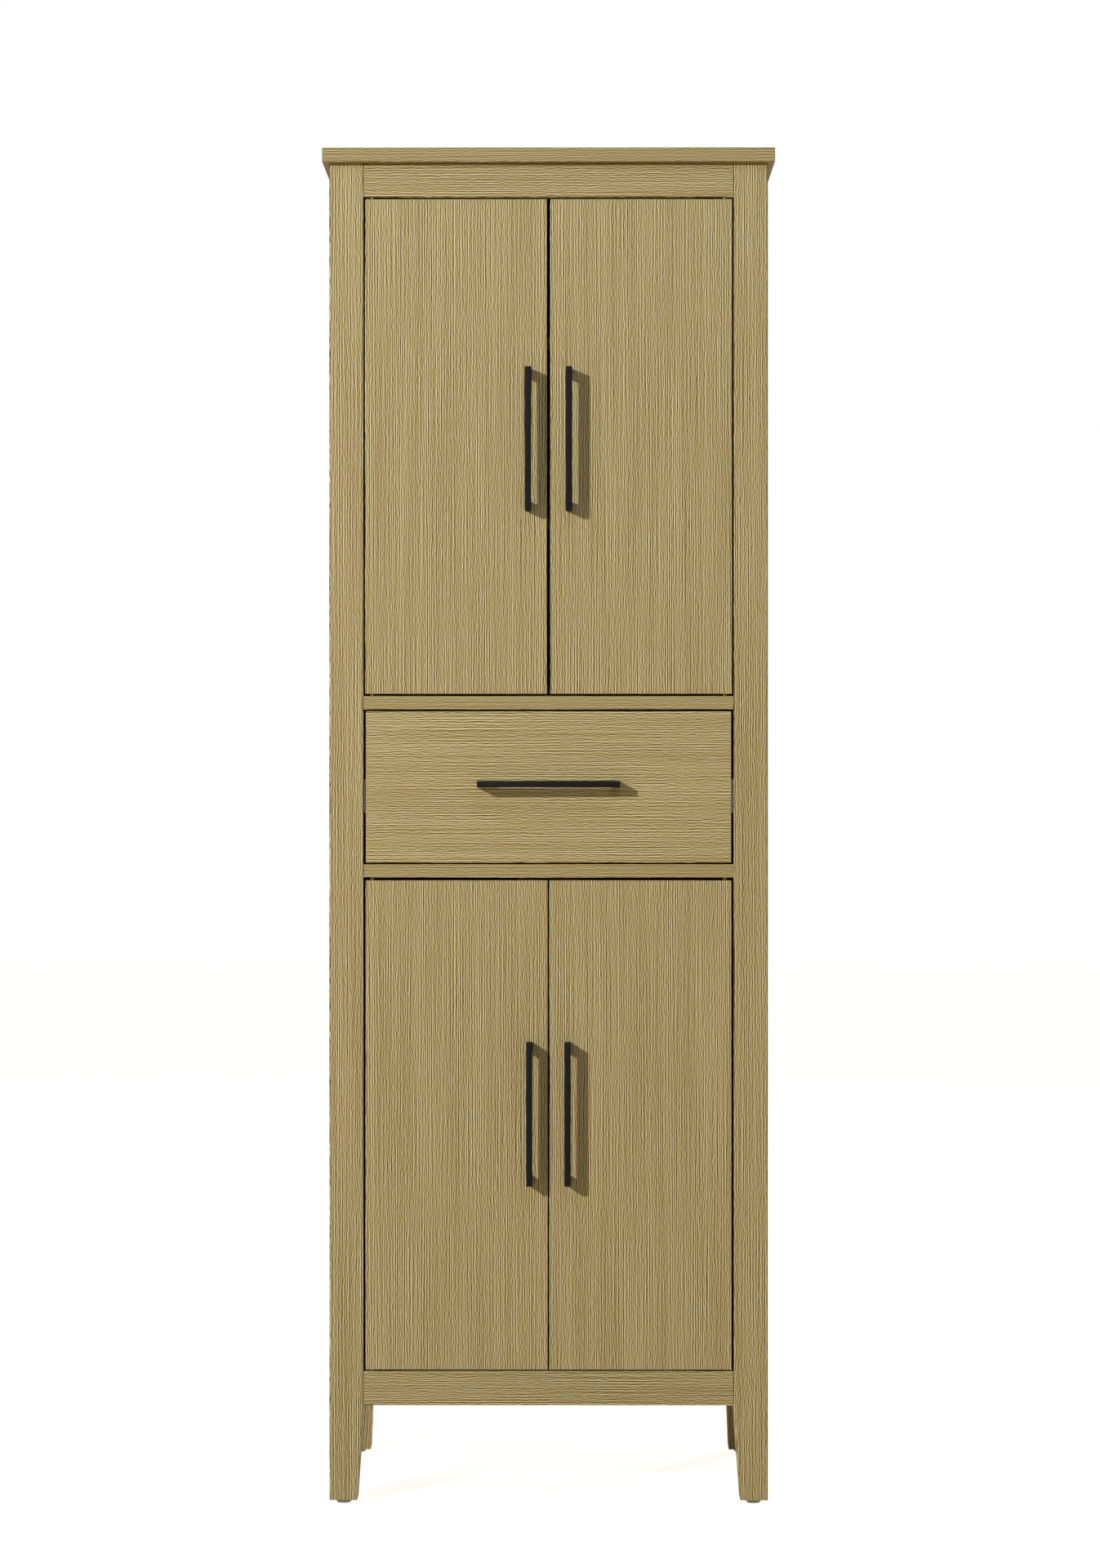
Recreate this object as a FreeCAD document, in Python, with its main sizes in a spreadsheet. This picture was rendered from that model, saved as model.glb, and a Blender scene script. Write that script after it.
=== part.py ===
"""Tall bathroom linen cabinet: two pairs of inset doors with a drawer between them, on tapered legs.

Millimetres. +Z is up, the front faces -Y, and the origin is on the floor under the middle of the cabinet.
"""
import FreeCAD, Part
import operator
import os
from types import SimpleNamespace

import Sketcher

SIZES = {
    # whole cabinet
    "cabinet_height": 1829,
    "body_width": 592,
    "body_depth": 394,
    "board_arris": 0.5,
    # top board
    "top_thickness": 19,
    "top_side_overhang": 9,
    "top_front_overhang": 12,
    # corner posts, which run down into the legs
    "post_width": 46,
    "leg_height": 134,
    "leg_tip_width": 37.5,
    "rear_post_width": 41,
    "rear_leg_tip_width": 36,
    "post_arris": 1.5,
    "glide_height": 6,
    "glide_diameter": 20,
    "glide_arris": 1.5,
    "glide_nail_diameter": 4,
    "glide_nail_length": 14,
    # rails and carcass boards
    "rail_height": 46,
    "rail_thickness": 20,
    "joint_gap": 0.6,
    "lower_opening": 666,
    "drawer_opening": 209,
    "divider_thickness": 18,
    "bottom_thickness": 16,
    "side_thickness": 16,
    "side_recess": 4,
    "back_thickness": 6,
    "back_inset": 6,
    "groove_depth": 6,
    "wall_hole_diameter": 6,
    "wall_hole_spacing": 400,
    # dowels
    "dowel_diameter": 8,
    "dowel_length": 30,
    "dowel_side_depth": 10,
    "dowel_spacing": 22,
    "board_dowel_spacing": 150,
    "bore_clearance": 0.15,
    "bore_end_room": 1,
    # shelves on pins
    "shelf_thickness": 16,
    "shelf_setback": 56,
    "shelf_clearance": 1,
    "shelf_pin_diameter": 5,
    "shelf_pin_reach": 10,
    "shelf_pin_depth": 8,
    "shelf_pin_inset": 40,
    "shelf_pin_pitch": 32,
    "shelf_pin_clearance": 0.1,
    # doors and the gaps round them
    "door_thickness": 18,
    "upper_side_gap": 2.4,
    "upper_centre_gap": 4.4,
    "upper_head_gap": 2.6,
    "upper_foot_gap": 2.9,
    "lower_side_gap": 3.1,
    "lower_centre_gap": 2.2,
    "lower_head_gap": 3.8,
    "lower_foot_gap": 2,
    # pivot hinges let into the door ends
    "hinge_inset": 12,
    "hinge_setback": 5,
    "leaf_length": 40,
    "leaf_width": 8,
    "leaf_thickness": 2.5,
    "leaf_screw_start": 14,
    "leaf_screw_pitch": 14,
    "hinge_pin_diameter": 4,
    "hinge_pin_clearance": 0.05,
    "hinge_pin_end_room": 0.3,
    "hinge_collar_diameter": 7,
    # bar handles
    "handle_length": 192,
    "handle_width": 8.6,
    "handle_bar": 8.6,
    "handle_foot": 12,
    "handle_projection": 30,
    "handle_arris": 0.6,
    "upper_handle_inset": 25.3,
    "lower_handle_inset": 24.6,
    "upper_handle_rise": 8.9,
    "lower_handle_rise": 16.3,
    "drawer_handle_rise": 3.5,
    # countersunk screws and handle bolts
    "screw_diameter": 3,
    "screw_head_diameter": 5.6,
    "screw_head_height": 1.5,
    "screw_length": 13,
    "bolt_diameter": 4,
    "bolt_head_diameter": 8,
    "bolt_head_height": 2.4,
    "bolt_grip": 9,
    # magnetic catches and their strike plates
    "catch_width": 84,
    "catch_height": 15,
    "catch_depth": 14,
    "magnet_width": 22,
    "magnet_height": 9,
    "magnet_depth": 5,
    "strike_width": 24,
    "strike_height": 13,
    "strike_thickness": 1.8,
    "strike_offset": 22.5,
    "strike_end_room": 3,
    # drawer box and the gaps round its front
    "drawer_side_gap": 3.5,
    "drawer_head_gap": 2.7,
    "drawer_foot_gap": 2.2,
    "drawer_box_lift": 15,
    "drawer_box_headroom": 40,
    "drawer_back_room": 24,
    "drawer_board": 12,
    "drawer_bottom_thickness": 5,
    "drawer_bottom_lift": 10,
    "drawer_groove": 6,
    "drawer_corner_screw_inset": 22,
    "drawer_front_screw_inset": 60,
    # three-part drawer slides
    "slide_space": 12.7,
    "slide_height": 45,
    "slide_wall": 1.5,
    "slide_clearance": 0.6,
    "slide_lip": 9.5,
    "slide_setback": 3,
    "slide_screw_inset": 20,
    "spacer_height": 60,
}

doc = FreeCAD.newDocument("linen_cabinet")
sheet = doc.addObject("Spreadsheet::Sheet", "dims")
for row, (alias, number) in enumerate(SIZES.items(), start=1):
    sheet.set(f"A{row}", alias)
    sheet.set(f"B{row}", str(number))
    sheet.setAlias(f"B{row}", alias)
doc.recompute()

SIGNS = {"+": operator.add, "-": operator.sub, "*": operator.mul, "/": operator.truediv}
LEFT, RIGHT = -1, 1
FRONT, REAR = -1, 1
SIDE_NAMES = {LEFT: "left", RIGHT: "right"}
END_NAMES = {FRONT: "front", REAR: "rear"}


class Size:
    """A length that carries both its number and the sheet formula that it follows."""

    def __init__(self, formula, number):
        self.formula = formula
        self.number = number

    def joined(self, sign, other):
        other = as_size(other)
        return Size(f"({self.formula} {sign} {other.formula})", SIGNS[sign](self.number, other.number))

    def __add__(self, other):
        return self.joined("+", other)

    def __sub__(self, other):
        return self.joined("-", other)

    def __mul__(self, other):
        return self.joined("*", other)

    def __truediv__(self, other):
        return self.joined("/", other)

    def __neg__(self):
        return self * -1


def as_size(value):
    return value if isinstance(value, Size) else Size(str(value), value)


d = SimpleNamespace(**{alias: Size(f"dims.{alias}", number) for alias, number in SIZES.items()})
ZERO = as_size(0)

# Planes and levels that the pieces share.
half_width = d.body_width / 2
inner_half = half_width - d.post_width
rear_inner_half = half_width - d.rear_post_width
side_outer = half_width - d.side_recess
side_inner = side_outer - d.side_thickness
face_y = (d.handle_projection - d.body_depth) / 2
back_y = face_y + d.body_depth
back_face = back_y - d.back_inset - d.back_thickness
door_back = face_y + d.door_thickness
front_post_back = face_y + d.post_width
rear_post_front = back_y - d.post_width
post_top = d.cabinet_height - d.top_thickness
lower_floor = d.leg_height + d.rail_height
lower_ceiling = lower_floor + d.lower_opening
drawer_floor = lower_ceiling + d.divider_thickness
drawer_ceiling = drawer_floor + d.drawer_opening
upper_floor = drawer_ceiling + d.divider_thickness
upper_ceiling = post_top - d.rail_height

blanks = {}
cutters = {}
groups = {}


def bind(thing, **formulas):
    for prop, value in formulas.items():
        thing.setExpression(prop, as_size(value).formula)


def place(thing, at):
    for axis, value in zip("xyz", at):
        thing.setExpression(f"Placement.Base.{axis}", as_size(value).formula)


def span(side, near, far):
    """The low and high x of a piece that lies between two distances from the middle, on one side."""
    return (near, far) if side == RIGHT else (-as_size(far), -as_size(near))


def block(name, low, high):
    solid = doc.addObject("Part::Box", name)
    length, width, height = (as_size(top) - bottom for bottom, top in zip(low, high))
    bind(solid, Length=length, Width=width, Height=height)
    place(solid, low)
    return solid


TURNS = {
    "+z": FreeCAD.Rotation(),
    "-z": FreeCAD.Rotation(FreeCAD.Vector(1, 0, 0), 180),
    "+x": FreeCAD.Rotation(FreeCAD.Vector(0, 1, 0), 90),
    "-x": FreeCAD.Rotation(FreeCAD.Vector(0, 1, 0), -90),
    "+y": FreeCAD.Rotation(FreeCAD.Vector(1, 0, 0), -90),
    "-y": FreeCAD.Rotation(FreeCAD.Vector(1, 0, 0), 90),
}


def along(at, axis, distance):
    """The point that lies a distance from another along an axis such as "+z"."""
    step = as_size(distance) if axis[0] == "+" else -as_size(distance)
    return tuple(as_size(value) + step if letter == axis[1] else value for letter, value in zip("xyz", at))


def rod(name, at, axis, diameter, length):
    solid = doc.addObject("Part::Cylinder", name)
    bind(solid, Radius=as_size(diameter) / 2, Height=length)
    solid.Placement.Rotation = TURNS[axis]
    place(solid, at)
    return solid


def cone(name, at, axis, wide, narrow, length):
    solid = doc.addObject("Part::Cone", name)
    bind(solid, Radius1=as_size(wide) / 2, Radius2=as_size(narrow) / 2, Height=length)
    solid.Placement.Rotation = TURNS[axis]
    place(solid, at)
    return solid


def fused(name, solids):
    union = doc.addObject("Part::MultiFuse", name)
    union.Shapes = solids
    return union


def piece(node, solid):
    """Name a finished or still uncut solid as the blank of a node."""
    solid.Label = f"{node}_blank"
    blanks[node] = solid
    return solid


def carve(tool, *nodes):
    for node in nodes:
        cutters.setdefault(node, []).append(tool)


def collect(node, solid):
    groups.setdefault(node, []).append(solid)
    return solid


def origin_plane(body, role):
    return next(feature for feature in body.Origin.OriginFeatures if feature.Role == role)


def outline(body, name, role, points):
    """A closed sketch of straight lines whose corners each follow the sheet."""
    sketch = body.newObject("Sketcher::SketchObject", name)
    sketch.AttachmentSupport = [(origin_plane(body, role), "")]
    sketch.MapMode = "FlatFace"
    corners = [tuple(as_size(value) for value in point) for point in points]
    vectors = [FreeCAD.Vector(u.number, v.number, 0) for u, v in corners]
    for start, end in zip(vectors, vectors[1:] + vectors[:1]):
        sketch.addGeometry(Part.LineSegment(start, end))
    for line in range(len(corners)):
        sketch.addConstraint(Sketcher.Constraint("Coincident", line, 2, (line + 1) % len(corners), 1))
    for line, corner in enumerate(corners):
        for kind, value in zip(("DistanceX", "DistanceY"), corner):
            place_in_list = sketch.addConstraint(Sketcher.Constraint(kind, -1, 1, line, 1, value.number))
            sketch.setExpression(f"Constraints[{place_in_list}]", value.formula)
    return sketch


def pad(body, sketch, length, reverse=False):
    feature = body.newObject("PartDesign::Pad", f"{body.Name}_pad")
    feature.Profile = sketch
    feature.Reversed = reverse
    bind(feature, Length=length)
    doc.recompute()
    return feature


def ease(body, feature, size, edges=None):
    """Take the sharp arris off every edge of a feature, or off the named ones."""
    chamfer = body.newObject("PartDesign::Chamfer", f"{body.Name}_arris")
    chamfer.Base = (feature, edges or [""])
    chamfer.UseAllEdges = edges is None
    bind(chamfer, Size=size)
    return chamfer


def board(node, low, high):
    """A faced board with eased edges, padded from its lower face."""
    body = doc.addObject("PartDesign::Body", f"{node}_body")
    width, depth, height = (as_size(top) - bottom for bottom, top in zip(low, high))
    corners = [(ZERO, ZERO), (width, ZERO), (width, depth), (ZERO, depth)]
    feature = pad(body, outline(body, f"{node}_plan", "XY_Plane", corners), height)
    ease(body, feature, d.board_arris)
    place(body, low)
    return piece(node, body)


def dowel(name, joint, axis, first_depth, *nodes):
    """A dowel across a joint plane, with its bore in both boards. It starts first_depth before the plane."""
    start = along(joint, axis, -as_size(first_depth))
    collect("carcass_dowels", rod(name, start, axis, d.dowel_diameter, d.dowel_length))
    bore_start = along(start, axis, -d.bore_end_room)
    bore_length = d.dowel_length + d.bore_end_room * 2
    carve(rod(f"{name}_bore", bore_start, axis, d.dowel_diameter + d.bore_clearance * 2, bore_length), *nodes)


def screw(name, group, at, axis, length, *nodes):
    """A countersunk screw with its head flush at a face, and its bore in each piece that it passes."""
    depth = d.screw_head_height
    head = cone(f"{name}_head", at, axis, d.screw_head_diameter, d.screw_diameter, depth)
    shank = rod(f"{name}_shank", along(at, axis, depth), axis, d.screw_diameter, as_size(length) - depth)
    collect(group, fused(name, [head, shank]))
    room = d.bore_clearance * 2
    sink = cone(f"{name}_sink", at, axis, d.screw_head_diameter + room, d.screw_diameter + room, depth)
    hole = rod(f"{name}_hole", at, axis, d.screw_diameter + room, as_size(length) + d.bore_end_room)
    carve(fused(f"{name}_bore", [sink, hole]), *nodes)


def face_edges(feature, middle, outside):
    """The upright edges of a post's show face, on its outer or its inner side."""
    names = []
    for number, edge in enumerate(feature.Shape.Edges, start=1):
        box = edge.BoundBox
        on_face = box.YLength < 0.001 and abs(box.Center.y) < 0.001
        if on_face and box.ZLength > box.XLength and (abs(box.Center.x) > middle) == outside:
            names.append(f"Edge{number}")
    return names


def make_post(side, end):
    """A corner post whose leg tapers on its two inner faces below the rails. The rear posts are slimmer."""
    node = f"{END_NAMES[end]}_{SIDE_NAMES[side]}_post"
    body = doc.addObject("PartDesign::Body", f"{node}_body")
    width = d.post_width if end == FRONT else d.rear_post_width
    tip_width = d.leg_tip_width if end == FRONT else d.rear_leg_tip_width
    outer = half_width * side
    inner = (half_width - width) * side
    tip = (half_width - tip_width) * side
    corners = [
        (outer, d.glide_height),
        (outer, post_top),
        (inner, post_top),
        (inner, d.leg_height),
        (tip, d.glide_height),
    ]
    shaft = pad(body, outline(body, f"{node}_face", "XZ_Plane", corners), d.post_width, reverse=end == FRONT)
    middle = (half_width - width / 2).number
    outer_arris = ease(body, shaft, d.post_arris, face_edges(shaft, middle, True))
    doc.recompute()
    ease(body, outer_arris, d.board_arris, face_edges(outer_arris, middle, False))
    taper = [
        (d.post_width * -end, d.leg_height),
        (d.post_width * -end, d.glide_height),
        (d.leg_tip_width * -end, d.glide_height),
    ]
    pocket = body.newObject("PartDesign::Pocket", f"{node}_taper")
    pocket.Profile = outline(body, f"{node}_side", "YZ_Plane", taper)
    pocket.Type = "ThroughAll"
    pocket.SideType = "Symmetric"
    place(body, (ZERO, face_y if end == FRONT else back_y, ZERO))
    piece(node, body)

    glide_x = (half_width - tip_width / 2) * side
    glide_y = face_y + d.leg_tip_width / 2 if end == FRONT else back_y - d.leg_tip_width / 2
    make_glide(node, (glide_x, glide_y, ZERO))

    centre_x = (half_width - width / 2) * side
    centre_y = face_y + d.post_width / 2 if end == FRONT else back_y - d.post_width / 2
    joint = (centre_x, centre_y, post_top)
    dowel(f"{node}_top_dowel", joint, "-z", d.dowel_side_depth, node, "top_panel")


def make_glide(post, at):
    """A turned plastic foot with a nail up into the end of the leg."""
    body = doc.addObject("PartDesign::Body", f"{post}_glide")
    radius = d.glide_diameter / 2
    nail = d.glide_nail_diameter / 2
    nail_top = d.glide_height + d.glide_nail_length
    half_section = [
        (ZERO, ZERO),
        (radius - d.glide_arris, ZERO),
        (radius, d.glide_arris),
        (radius, d.glide_height),
        (nail, d.glide_height),
        (nail, nail_top),
        (ZERO, nail_top),
    ]
    sketch = outline(body, f"{post}_glide_section", "XZ_Plane", half_section)
    turned = body.newObject("PartDesign::Revolution", f"{post}_glide_turned")
    turned.Profile = sketch
    turned.ReferenceAxis = (sketch, ["V_Axis"])
    turned.Angle = 360
    place(body, at)
    collect("floor_glides", body)
    leg_end = along(at, "+z", d.glide_height)
    bore = d.glide_nail_diameter + d.bore_clearance * 2
    carve(rod(f"{post}_glide_bore", leg_end, "+z", bore, d.glide_nail_length + d.bore_end_room), post)


def make_sides_and_back():
    """Side boards and a thin back board, let into grooves in the posts."""
    for side in (LEFT, RIGHT):
        node = f"{SIDE_NAMES[side]}_side_panel"
        low_x, high_x = span(side, side_inner, side_outer)
        low = (low_x, front_post_back - d.groove_depth, d.leg_height)
        high = (high_x, rear_post_front + d.groove_depth, post_top)
        panel = piece(node, block(node, low, high))
        carve(panel, *(f"{END_NAMES[end]}_{SIDE_NAMES[side]}_post" for end in (FRONT, REAR)))
    reach = rear_inner_half + d.groove_depth
    low = (-reach, back_face, d.leg_height)
    high = (reach, back_face + d.back_thickness, post_top)
    panel = piece("back_panel", block("back_panel", low, high))
    carve(panel, "rear_left_post", "rear_right_post")


def make_rails():
    """Rails dowelled between the posts, the front ones with a hairline joint. One is bored for wall screws."""
    rows = (("top", upper_ceiling), ("bottom", d.leg_height))
    for end in (FRONT, REAR):
        near = face_y if end == FRONT else back_face - d.rail_thickness
        reach = inner_half - d.joint_gap if end == FRONT else rear_inner_half
        for row, floor in rows:
            node = f"{row}_front_rail" if end == FRONT else f"rear_{row}_rail"
            low = (-reach, near, floor)
            high = (reach, near + d.rail_thickness, floor + d.rail_height)
            board(node, low, high)
            for side in (LEFT, RIGHT):
                for shift in (-1, 1):
                    level = floor + d.rail_height / 2 + d.dowel_spacing / 2 * shift
                    joint = (reach * side, near + d.rail_thickness / 2, level)
                    name = f"{node}_dowel_{SIDE_NAMES[side]}_{shift + 1}"
                    post = f"{END_NAMES[end]}_{SIDE_NAMES[side]}_post"
                    dowel(name, joint, "+x", d.dowel_length / 2, node, post)
    for side in (LEFT, RIGHT):
        level = upper_ceiling + d.rail_height / 2
        start = (d.wall_hole_spacing / 2 * side, back_face - d.rail_thickness, level)
        length = d.rail_thickness + d.back_thickness
        hole = rod(f"wall_hole_{SIDE_NAMES[side]}", start, "+y", d.wall_hole_diameter, length)
        carve(hole, "rear_top_rail", "back_panel")


def make_flat_board(node, front, back, floor, thickness):
    """A board across the carcass, notched round the posts and dowelled to the sides."""
    low = (-side_inner, front, floor)
    high = (side_inner, back, floor + thickness)
    board(node, low, high)
    for side in (LEFT, RIGHT):
        name = f"{node}_notch_{SIDE_NAMES[side]}"
        top = floor + thickness
        low_x, high_x = span(side, inner_half - d.joint_gap, side_inner)
        carve(block(f"{name}_front", (low_x, front, floor), (high_x, front_post_back, top)), node)
        low_x, high_x = span(side, rear_inner_half, side_inner)
        carve(block(f"{name}_rear", (low_x, rear_post_front, floor), (high_x, back, top)), node)
        for shift in (-1, 1):
            joint = (side_inner * side, d.board_dowel_spacing / 2 * shift, floor + as_size(thickness) / 2)
            name = f"{node}_dowel_{SIDE_NAMES[side]}_{shift + 1}"
            axis = "-x" if side == RIGHT else "+x"
            dowel(name, joint, axis, d.dowel_side_depth, node, f"{SIDE_NAMES[side]}_side_panel")


def make_shelf(node, floor):
    """A loose shelf on four pins, with spare pin holes above and below."""
    width = side_inner - d.shelf_clearance
    front = face_y + d.shelf_setback
    back = back_face - d.shelf_clearance
    top = floor + d.shelf_thickness
    piece(node, block(node, (-width, front, floor), (width, back, top)))
    for side in (LEFT, RIGHT):
        low_x, high_x = span(side, rear_inner_half - d.shelf_clearance, side_inner)
        notch_low = (low_x, rear_post_front - d.shelf_clearance, floor)
        carve(block(f"{node}_notch_{SIDE_NAMES[side]}", notch_low, (high_x, back, top)), node)
        axis = "-x" if side == RIGHT else "+x"
        for end in (FRONT, REAR):
            near = front if end == FRONT else rear_post_front
            pin_y = near - d.shelf_pin_inset * end
            pin_z = floor - d.shelf_pin_diameter / 2 - d.shelf_pin_clearance
            name = f"{node}_pin_{SIDE_NAMES[side]}_{END_NAMES[end]}"
            root = ((side_inner + d.shelf_pin_depth) * side, pin_y, pin_z)
            length = d.shelf_pin_depth + d.shelf_pin_reach
            collect("shelf_pins", rod(name, root, axis, d.shelf_pin_diameter, length))
            for step in (-1, 0, 1):
                bore_root = along(root, "+z", d.shelf_pin_pitch * step)
                bore = d.shelf_pin_diameter + d.shelf_pin_clearance * 2
                hole = rod(f"{name}_hole_{step + 1}", bore_root, axis, bore, d.shelf_pin_depth)
                carve(hole, f"{SIDE_NAMES[side]}_side_panel")


def leaf(name, axis_at, side, outward):
    """A hinge leaf seen from its face: a bar with one round end about the pivot. Returns its two solids."""
    into = "-z" if outward == 1 else "+z"
    base = axis_at[2] - d.leaf_thickness if outward == 1 else axis_at[2]
    low_x, high_x = (axis_at[0], axis_at[0] + d.leaf_length)
    if side == RIGHT:
        low_x, high_x = (axis_at[0] - d.leaf_length, axis_at[0])
    half = d.leaf_width / 2
    low = (low_x, axis_at[1] - half, base)
    high = (high_x, axis_at[1] + half, base + d.leaf_thickness)
    round_end = rod(f"{name}_eye", axis_at, into, d.leaf_width, d.leaf_thickness)
    return fused(name, [block(f"{name}_bar", low, high), round_end]), into


def make_hinge(door, side, door_edge, frame_edge, outward, frame_node):
    """A pivot hinge at one end of a door: a bored leaf in the door and a pin on a leaf in the frame."""
    axis_x = (inner_half - d.hinge_inset) * side
    axis_y = face_y + d.hinge_setback
    end = "top" if outward == 1 else "bottom"
    door_at = (axis_x, axis_y, door_edge)
    frame_at = (axis_x, axis_y, frame_edge)
    gap = (frame_edge - door_edge) * outward

    door_leaf, into_door = leaf(f"{door}_{end}_leaf", door_at, side, outward)
    carve(door_leaf, door)
    pin_bore = d.hinge_pin_diameter + d.hinge_pin_clearance * 2
    hole = rod(f"{door}_{end}_pin_bore", door_at, into_door, pin_bore, d.leaf_thickness)
    leaf_node = f"{door}_{end}_leaf_cut"
    blanks[leaf_node] = door_leaf
    carve(hole, leaf_node)
    collect(f"{door}_hinge_leaves", leaf_node)

    frame_leaf, into_frame = leaf(f"{door}_{end}_frame_leaf", frame_at, side, -outward)
    carve(frame_leaf, frame_node)
    collar = rod(f"{door}_{end}_collar", frame_at, into_door, d.hinge_collar_diameter, gap)
    pin_length = gap + d.leaf_thickness - d.hinge_pin_end_room
    pin = rod(f"{door}_{end}_pin", frame_at, into_door, d.hinge_pin_diameter, pin_length)
    frame_leaf_node = f"{door}_{end}_frame_leaf_cut"
    blanks[frame_leaf_node] = fused(f"{door}_{end}_frame_leaf_pin", [frame_leaf, collar, pin])
    collect("frame_hinge_leaves", frame_leaf_node)

    for number in range(2):
        reach = (d.leaf_screw_start + d.leaf_screw_pitch * number) * -side
        name = f"{door}_{end}_screw_{number}"
        at = along(door_at, "+x", reach)
        screw(name, f"{door}_screws", at, into_door, d.screw_length, leaf_node, door)
        at = along(frame_at, "+x", reach)
        screw(f"{name}_frame", "carcass_screws", at, into_frame, d.screw_length, frame_leaf_node, frame_node)


def make_handle(node, group, centre, upright, boards, *nodes):
    """A square bar handle on two feet, bolted from behind through the board or boards."""
    body = doc.addObject("PartDesign::Body", f"{node}_body")
    half = d.handle_length / 2
    foot = half - d.handle_foot
    bar_back = -(d.handle_projection - d.handle_bar)
    corners = [
        (ZERO, -half),
        (-d.handle_projection, -half),
        (-d.handle_projection, half),
        (ZERO, half),
        (ZERO, foot),
        (bar_back, foot),
        (bar_back, -foot),
        (ZERO, -foot),
    ]
    sketch = outline(body, f"{node}_profile", "YZ_Plane", corners)
    feature = pad(body, sketch, d.handle_width)
    feature.SideType = "Symmetric"
    ease(body, feature, d.handle_arris)
    if not upright:
        body.Placement.Rotation = FreeCAD.Rotation(FreeCAD.Vector(0, 1, 0), 90)
    place(body, centre)
    piece(node, body)
    for shift in (-1, 1):
        offset = (half - d.handle_foot / 2) * shift
        foot_at = along(centre, "+z" if upright else "+x", offset)
        seat = along(foot_at, "+y", boards)
        name = f"{node}_bolt_{shift + 1}"
        head = rod(f"{name}_head", seat, "+y", d.bolt_head_diameter, d.bolt_head_height)
        shank = rod(f"{name}_shank", seat, "-y", d.bolt_diameter, as_size(boards) + d.bolt_grip)
        collect(group, fused(name, [head, shank]))
        bore = d.bolt_diameter + d.bore_clearance * 2
        bore_length = as_size(boards) + d.bolt_grip + d.bore_end_room
        carve(rod(f"{name}_bore", seat, "-y", bore, bore_length), node, *nodes)


DOOR_ROWS = {
    "upper": SimpleNamespace(
        floor=upper_floor, floor_node="upper_divider", foot_gap=d.upper_foot_gap,
        ceiling=upper_ceiling, ceiling_node="top_front_rail", head_gap=d.upper_head_gap,
        side_gap=d.upper_side_gap, centre_gap=d.upper_centre_gap,
        handle_inset=d.upper_handle_inset, handle_rise=d.upper_handle_rise, catch_at_head=False,
    ),
    "lower": SimpleNamespace(
        floor=lower_floor, floor_node="bottom_front_rail", foot_gap=d.lower_foot_gap,
        ceiling=lower_ceiling, ceiling_node="lower_divider", head_gap=d.lower_head_gap,
        side_gap=d.lower_side_gap, centre_gap=d.lower_centre_gap,
        handle_inset=d.lower_handle_inset, handle_rise=d.lower_handle_rise, catch_at_head=True,
    ),
}


def make_door(row_name, side):
    """A flush slab door on two pivot hinges, with its handle and the strike plate of its catch."""
    row = DOOR_ROWS[row_name]
    node = f"{row_name}_{SIDE_NAMES[side]}_door"
    low_x, high_x = span(side, row.centre_gap / 2, inner_half - row.side_gap)
    bottom = row.floor + row.foot_gap
    top = row.ceiling - row.head_gap
    board(node, (low_x, face_y, bottom), (high_x, door_back, top))
    make_hinge(node, side, top, row.ceiling, 1, row.ceiling_node)
    make_hinge(node, side, bottom, row.floor, -1, row.floor_node)
    handle_x = (row.centre_gap / 2 + row.handle_inset) * side
    handle_at = (handle_x, face_y, (bottom + top) / 2 + row.handle_rise)
    make_handle(f"{node}_handle", f"{node}_screws", handle_at, True, d.door_thickness, node)

    strike = f"{node}_strike_plate"
    centre_x = d.strike_offset * side
    strike_z = bottom + d.strike_end_room
    if row.catch_at_head:
        strike_z = top - d.strike_end_room - d.strike_height
    strike_back = door_back + d.strike_thickness
    low = (centre_x - d.strike_width / 2, door_back, strike_z)
    high = (centre_x + d.strike_width / 2, strike_back, strike_z + d.strike_height)
    piece(strike, block(strike, low, high))
    at = (centre_x, strike_back, strike_z + d.strike_height / 2)
    screw(f"{strike}_screw", f"{node}_screws", at, "-y", d.screw_length, strike, node)


def make_catch(row, seat, outward, seat_node):
    """A double magnetic catch on a divider, which also stops the pair of doors flush with the frame."""
    node = f"{row}_magnetic_catch"
    front = face_y + d.rail_thickness
    floor = seat if outward == 1 else seat - d.catch_height
    half = d.catch_width / 2
    top = floor + d.catch_height
    case = block(node, (-half, front, floor), (half, front + d.catch_depth, top))
    blanks[node] = case
    collect("magnetic_catches", node)
    middle = floor + d.catch_height / 2
    for side in (LEFT, RIGHT):
        centre_x = d.strike_offset * side
        low = (centre_x - d.magnet_width / 2, front, middle - d.magnet_height / 2)
        high = (centre_x + d.magnet_width / 2, front + d.magnet_depth, middle + d.magnet_height / 2)
        magnet = collect("catch_magnets", block(f"{node}_magnet_{SIDE_NAMES[side]}", low, high))
        carve(magnet, node)
    face = top if outward == 1 else floor
    into = "-z" if outward == 1 else "+z"
    at = (ZERO, front + d.catch_depth / 2, face)
    length = d.catch_height + d.screw_length - d.screw_head_height
    screw(f"{node}_screw", "carcass_screws", at, into, length, node, seat_node)


box_floor = drawer_floor + d.drawer_box_lift
box_top = drawer_ceiling - d.drawer_box_headroom
box_back = back_face - d.drawer_back_room
box_half = inner_half - d.slide_space
slide_level = (box_floor + box_top) / 2
slide_front = door_back + d.slide_setback


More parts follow.
